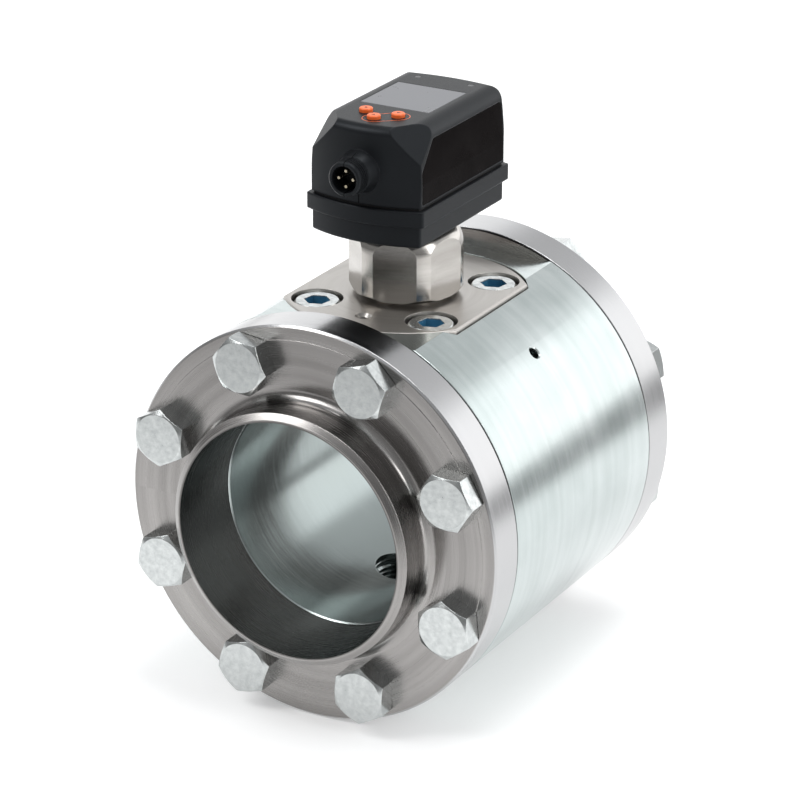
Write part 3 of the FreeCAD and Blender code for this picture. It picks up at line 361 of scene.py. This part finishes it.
def make_finishes():
    flange_light = (0.37, 0.357, 0.348, 1.0)
    flange_dark = (0.26, 0.25, 0.243, 1.0)
    zinc_light = (0.585, 0.628, 0.625, 1.0)
    zinc_dark = (0.43, 0.482, 0.474, 1.0)
    nickel_light = (0.53, 0.51, 0.485, 1.0)
    nickel_dark = (0.42, 0.40, 0.375, 1.0)
    return {
        # The turned steel and the zinc body take painted shade inside their bores.
        "machined_steel": turned_metal("turned_steel", flange_light, flange_dark, 0.24, anisotropy=0.6,
                                       bore=FLANGE_BORE_EDGE, bore_shade=0.5, rim=RIM_FROM,
                                       joints=BODY_ENDS),
        "zinc_body": turned_metal("zinc_on_turned_steel", zinc_light, zinc_dark, 0.17, anisotropy=0.35,
                                  line_depth=0.002, blotch=0.6, bore=BODY_BORE_EDGE, bore_shade=0.25,
                                  joints=BODY_ENDS),
        "zinc_fastener": tinted_sockets(
            forged_zinc("zinc_on_forged_steel", (0.57, 0.59, 0.585, 1.0), (0.45, 0.47, 0.47, 1.0), 0.20)
        ),
        "nickel_plate": turned_metal("nickel_on_plate", nickel_light, nickel_dark, 0.33, axis="Z",
                                     centre_y=SENSOR_Y, anisotropy=0.0),
        "nickel_nut": turned_metal("nickel_on_nut", nickel_light, nickel_dark, 0.21, axis="Z",
                                   centre_y=SENSOR_Y, anisotropy=0.0, line_depth=0.002),
        "stainless": turned_metal("stainless_steel", (0.62, 0.61, 0.60, 1.0), (0.52, 0.51, 0.50, 1.0), 0.22,
                                  axis="Z", centre_y=SENSOR_Y, anisotropy=0.0),
        "seal_rubber": soft_rubber("black_rubber"),
        "probe_insulator": moulded_plastic("pale_insulator", (0.60, 0.57, 0.50, 1.0), 0.45),
        "housing_plastic": moulded_plastic("charcoal_plastic", (0.0045, 0.005, 0.006, 1.0), 0.40, edge=0.8,
                                           seam=True, sheen=0.23),
        "panel_gloss": gloss_panel("black_gloss", (0.004, 0.003, 0.003, 1.0), 0.12, 0.02),
        "window_plastic": gloss_panel("grey_window", (0.105, 0.108, 0.118, 1.0), 0.25, 0.3),
        "display_black": moulded_plastic("black_moulding", (0.012, 0.012, 0.012, 1.0), 0.5),
        "circuit_board": circuit_board("green_board"),
        "light_guide": moulded_plastic("smoked_guide", (0.03, 0.03, 0.03, 1.0), 0.3),
        "connector_black": moulded_plastic("black_insulator", (0.008, 0.008, 0.008, 1.0), 0.5),
        "gold_contact": turned_metal("gold_contact", (0.62, 0.56, 0.44, 1.0), (0.48, 0.42, 0.30, 1.0), 0.25,
                                     anisotropy=0.0, edge=0.1),
        "button_orange": moulded_plastic("orange_plastic", (0.72, 0.125, 0.022, 1.0), 0.38, grain=0.004),
    }


def dress_nodes(finishes):
    """Gives each node of the model the finish of its material slot."""
    for entry in frame["record"]["subparts"]:
        node = frame["nodes"][entry["node"]]
        node.data.materials.clear()
        node.data.materials.append(finishes[entry["material_slot"]].material)


def new_piece(name, vertices, faces, finish, body):
    mesh = bpy.data.meshes.new(name)
    mesh.from_pydata([tuple(v) for v in vertices], [], faces)
    mesh.validate()
    piece = bpy.data.objects.new(name, mesh)
    bpy.context.scene.collection.objects.link(piece)
    mesh.materials.append(finish.material)
    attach(piece, body)
    return piece


def thread(name, finish, body, centre, axis, radius, pitch, turns, depth, inward):
    """Helical ridge on a round wall: a triangle swept round axis, into or out of the wall."""
    steps = 48
    axis = Vector(axis).normalized()
    side = axis.orthogonal().normalized()
    other = axis.cross(side)
    sign = -1.0 if inward else 1.0
    vertices = []
    faces = []
    total = int(steps * turns)
    for i in range(total + 1):
        angle = 2 * math.pi * i / steps
        out = side * math.cos(angle) + other * math.sin(angle)
        at = Vector(centre) + axis * (pitch * i / steps)
        fade = min(1.0, i / steps * 2, (total - i) / steps * 2)
        crest = radius + sign * depth * fade
        foot = radius - sign * 0.02 * MM
        vertices += [
            at + out * foot - axis * pitch * 0.46,
            at + out * crest - axis * pitch * 0.06,
            at + out * crest + axis * pitch * 0.06,
            at + out * foot + axis * pitch * 0.46,
        ]
    for i in range(total):
        a = 4 * i
        for k in range(3):
            quad = (a + k, a + k + 1, a + k + 5, a + k + 4)
            faces.append(quad if inward else quad[::-1])
        back = (a + 3, a, a + 4, a + 7)
        faces.append(back if inward else back[::-1])
    faces.append((0, 3, 2, 1) if inward else (0, 1, 2, 3))
    end = 4 * total
    faces.append((end, end + 1, end + 2, end + 3) if inward else (end, end + 3, end + 2, end + 1))
    return new_piece(name, vertices, faces, finish, body)


def flat_ring(name, finish, body, path, width, height, z):
    """Thin raised line of ink along a closed path on the head's top."""
    count = len(path)
    vertices = []
    for i, point in enumerate(path):
        ahead = path[(i + 1) % count] - path[i - 1]
        side = Vector((-ahead.y, ahead.x, 0)).normalized()
        foot = z - 0.02 * MM
        crest = z + height
        for off, level in ((-0.5, foot), (-0.4, crest), (0.4, crest), (0.5, foot)):
            vertices.append(Vector((point.x, point.y, level)) + side * (off * width))
    faces = []
    for i in range(count):
        a = 4 * i
        b = 4 * ((i + 1) % count)
        for k in range(4):
            n = (k + 1) % 4
            faces.append((a + k, b + k, b + n, a + n))
    return new_piece(name, vertices, faces, finish, body)


def stadium(first, second, radius, steps=20):
    """Closed path round two points, with straight sides."""
    along = (second - first).normalized()
    base = math.atan2(along.y, along.x)
    path = []
    for centre, start in ((second, base - math.pi / 2), (first, base + math.pi / 2)):
        for i in range(steps + 1):
            angle = start + math.pi * i / steps
            path.append(centre + Vector((math.cos(angle), math.sin(angle), 0)) * radius)
    return path


def button_centre(node):
    low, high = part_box(node)
    return Vector(((low[0] + high[0]) / 2, (low[1] + high[1]) / 2, high[2]))


def button_loop(finishes):
    """Thin orange outline round the middle and right-hand buttons."""
    first = button_centre("up_button")
    second = button_centre("down_button")
    path = stadium(first, second, 3.9 * MM)
    flat_ring("button_outline", finishes["button_orange"], "head", path,
              0.32 * MM, 0.03 * MM, HEAD_TOP)


def button_mark(node, corners, finishes):
    """Small dark pad let into a button's crown: corners are in millimetres about its centre."""
    centre = button_centre(node)
    top = centre.z + 0.03 * MM
    low = centre.z - 0.02 * MM
    count = len(corners)
    vertices = [Vector((centre.x + u * MM, centre.y + v * MM, top)) for u, v in corners]
    vertices += [Vector((centre.x + u * MM, centre.y + v * MM, low)) for u, v in corners]
    faces = [tuple(range(count)), tuple(range(2 * count - 1, count - 1, -1))]
    for i in range(count):
        n = (i + 1) % count
        faces.append((i, i + count, n + count, n))
    new_piece("mark_" + node, vertices, faces, finishes["display_black"], node)


def button_marks(finishes):
    size = MARK_SIZE
    up = [(-size, -size * 0.6), (size, -size * 0.6), (0.0, size * 0.8)]
    down = [(-size, size * 0.6), (0.0, -size * 0.8), (size, size * 0.6)]
    turns = [math.pi * k / 8 for k in range(16)]
    dot = [(DOT_RADIUS * math.cos(turn), DOT_RADIUS * math.sin(turn)) for turn in turns]
    button_mark("up_button", up, finishes)
    button_mark("down_button", down, finishes)
    button_mark("enter_button", dot, finishes)


def port_thread(finishes):
    """Pipe thread in the port opposite the sensor, which shows through the bore."""
    start = Vector((0, SENSOR_Y, plug_high[2] + PORT_PITCH * 0.6))
    turns = (-BORE_RADIUS - start.z - 1.2 * MM) / PORT_PITCH
    thread("port_thread", finishes["zinc_body"], "meter", start, (0, 0, 1),
           PORT_RADIUS, PORT_PITCH, turns, 0.95 * MM, True)


def connector_thread(finishes):
    """Fine thread on the plug connector's sleeve."""
    start = Vector((0, upper_low[1] + 1.1 * MM, CONNECTOR_Z))
    thread("connector_thread", finishes["housing_plastic"], "head", start, (0, 1, 0),
           SLEEVE_RADIUS, SLEEVE_PITCH, 3.6, 0.12 * MM, False)


def look_at(position, target, roll=0.0):
    """Rotation that points a camera or light from position to target, with +Z up."""
    away = (Vector(position) - Vector(target)).normalized()
    right = Vector((0, 0, 1)).cross(away).normalized()
    up = away.cross(right)
    turned_right = right * math.cos(roll) + up * math.sin(roll)
    turned_up = up * math.cos(roll) - right * math.sin(roll)
    return Matrix((turned_right, turned_up, away)).transposed().to_4x4()


def make_camera():
    """Camera at the photograph's viewing angle and distance."""
    azimuth = math.radians(CAMERA_AZIMUTH)
    elevation = math.radians(CAMERA_ELEVATION)
    roll = math.radians(CAMERA_ROLL)
    position = Vector(CAMERA_POSITION)
    back = Vector((
        math.sin(azimuth) * math.cos(elevation),
        -math.cos(azimuth) * math.cos(elevation),
        math.sin(elevation),
    ))
    data = bpy.data.cameras.new("camera")
    data.lens = CAMERA_LENS
    data.sensor_width = 36.0
    data.clip_start = 0.05
    data.clip_end = 20.0
    camera = bpy.data.objects.new("camera", data)
    bpy.context.scene.collection.objects.link(camera)
    camera.matrix_world = Matrix.Translation(position) @ look_at(position, position - back, roll)
    bpy.context.scene.camera = camera


def softbox(name, position, target, width, height, power):
    data = bpy.data.lights.new(name, "AREA")
    data.shape = "RECTANGLE"
    data.size = width
    data.size_y = height
    data.energy = power
    light = bpy.data.objects.new(name, data)
    bpy.context.scene.collection.objects.link(light)
    light.matrix_world = Matrix.Translation(position) @ look_at(position, target)


def make_floor():
    """Pale floor that glows a little, painted light that keeps it white about the part. Far in front and far
    behind right it is softly greyer and glows less, painted shade that the metal mirrors."""
    size = 6.0
    level = whole_low[2] - 0.2 * MM
    mesh = bpy.data.meshes.new("floor")
    mesh.from_pydata(
        [(-size, -size, level), (size, -size, level), (size, size, level), (-size, size, level)],
        [],
        [(0, 1, 2, 3)],
    )
    floor = bpy.data.objects.new("floor", mesh)
    bpy.context.scene.collection.objects.link(floor)
    f = Finish("pale_floor", Roughness=0.9, IOR=1.3, Specular_IOR_Level=0.0)
    x, y, z = f.place()
    behind_sensor = f.maths("SUBTRACT", y, SENSOR_Y)
    away = f.maths("ADD", f.times(x, MIRRORED_EAST), f.times(behind_sensor, MIRRORED_NORTH))
    across = f.maths("SUBTRACT", f.times(x, MIRRORED_NORTH), f.times(behind_sensor, MIRRORED_EAST))
    # Painted shade: a soft grey zone far behind right and another far in front, for the metal to mirror.
    begins = f.span(away, 0.36, 0.56, 0.0, 1.0)
    ends = f.span(away, 1.0, 2.2, 1.0, 0.0)
    beside = f.span(f.maths("ABSOLUTE", across), 0.15, 0.60, 1.0, 0.0)
    behind = f.times(f.times(begins, ends), beside)
    front = f.span(y, -0.11, -0.28, 0.0, 0.80)
    mirrored_shade_share = f.maths("MAXIMUM", behind, front)
    speck = f.noise(f.vector(x, y, z), 30.0, 2.0)
    pale = f.blend(speck, grey(0.86), grey(0.90))
    f.put(f.blend(mirrored_shade_share, pale, grey(0.34)), f.shader.inputs["Base Color"])
    # Painted light: the floor glows, less in the grey zones.
    f.shader.inputs["Emission Color"].default_value = grey(1.0)
    f.put(f.span(mirrored_shade_share, 0.0, 1.0, 0.25, 0.08), f.shader.inputs["Emission Strength"])
    mesh.materials.append(f.material)


def make_world():
    """Studio surroundings that metal mirrors: a wide bright wall low behind the part, and dimmer parts
    above it and in front."""
    world = bpy.data.worlds.new("studio")
    bpy.context.scene.world = world
    world.use_nodes = True
    w = Nodes(world.node_tree)
    split = w.add("SeparateXYZ")
    w.put(w.add("TexCoord").outputs["Generated"], split.inputs[0])
    east, north, up = split.outputs
    height = w.maths("DEGREES", w.maths("ARCTAN2", up, w.reach(east, north)))
    behind = w.span(north, 0.0, 0.5, 0.0, 1.0)
    wall = w.times(w.span(height, 24.0, 30.0, 1.0, 0.46), w.span(east, -0.35, 0.2, 1.45, 1.9))
    upper = w.span(height, 40.0, 60.0, 0.0, -0.35)
    back_light = w.maths("ADD", wall, upper)
    front_light = w.span(height, 0.0, 60.0, 0.22, 0.60)
    in_front = w.maths("SUBTRACT", 1.0, behind)
    light = w.maths("ADD", w.times(back_light, behind), w.times(front_light, in_front))
    background = world.node_tree.nodes["Background"]
    w.put(w.blend(w.span(height, 0.0, 90.0, 0.0, 1.0), grey(1.0), (0.94, 0.97, 1.0, 1.0)),
          background.inputs["Color"])
    w.put(light, background.inputs["Strength"])


def make_lights():
    target = (0.0, SENSOR_Y, 0.02)
    softbox("key", (-0.9, -0.9, 1.3), target, 0.9, 0.9, 14.0)
    softbox("side", (1.5, -0.1, 0.6), target, 0.5, 1.2, 7.0)
    softbox("top", (0.2, 0.3, 1.5), target, 0.8, 0.8, 12.0)


def main():
    finishes = make_finishes()
    dress_nodes(finishes)
    button_loop(finishes)
    button_marks(finishes)
    port_thread(finishes)
    connector_thread(finishes)
    make_floor()
    make_world()
    make_lights()
    make_camera()
    bpy.context.scene.view_settings.view_transform = "Standard"


main()
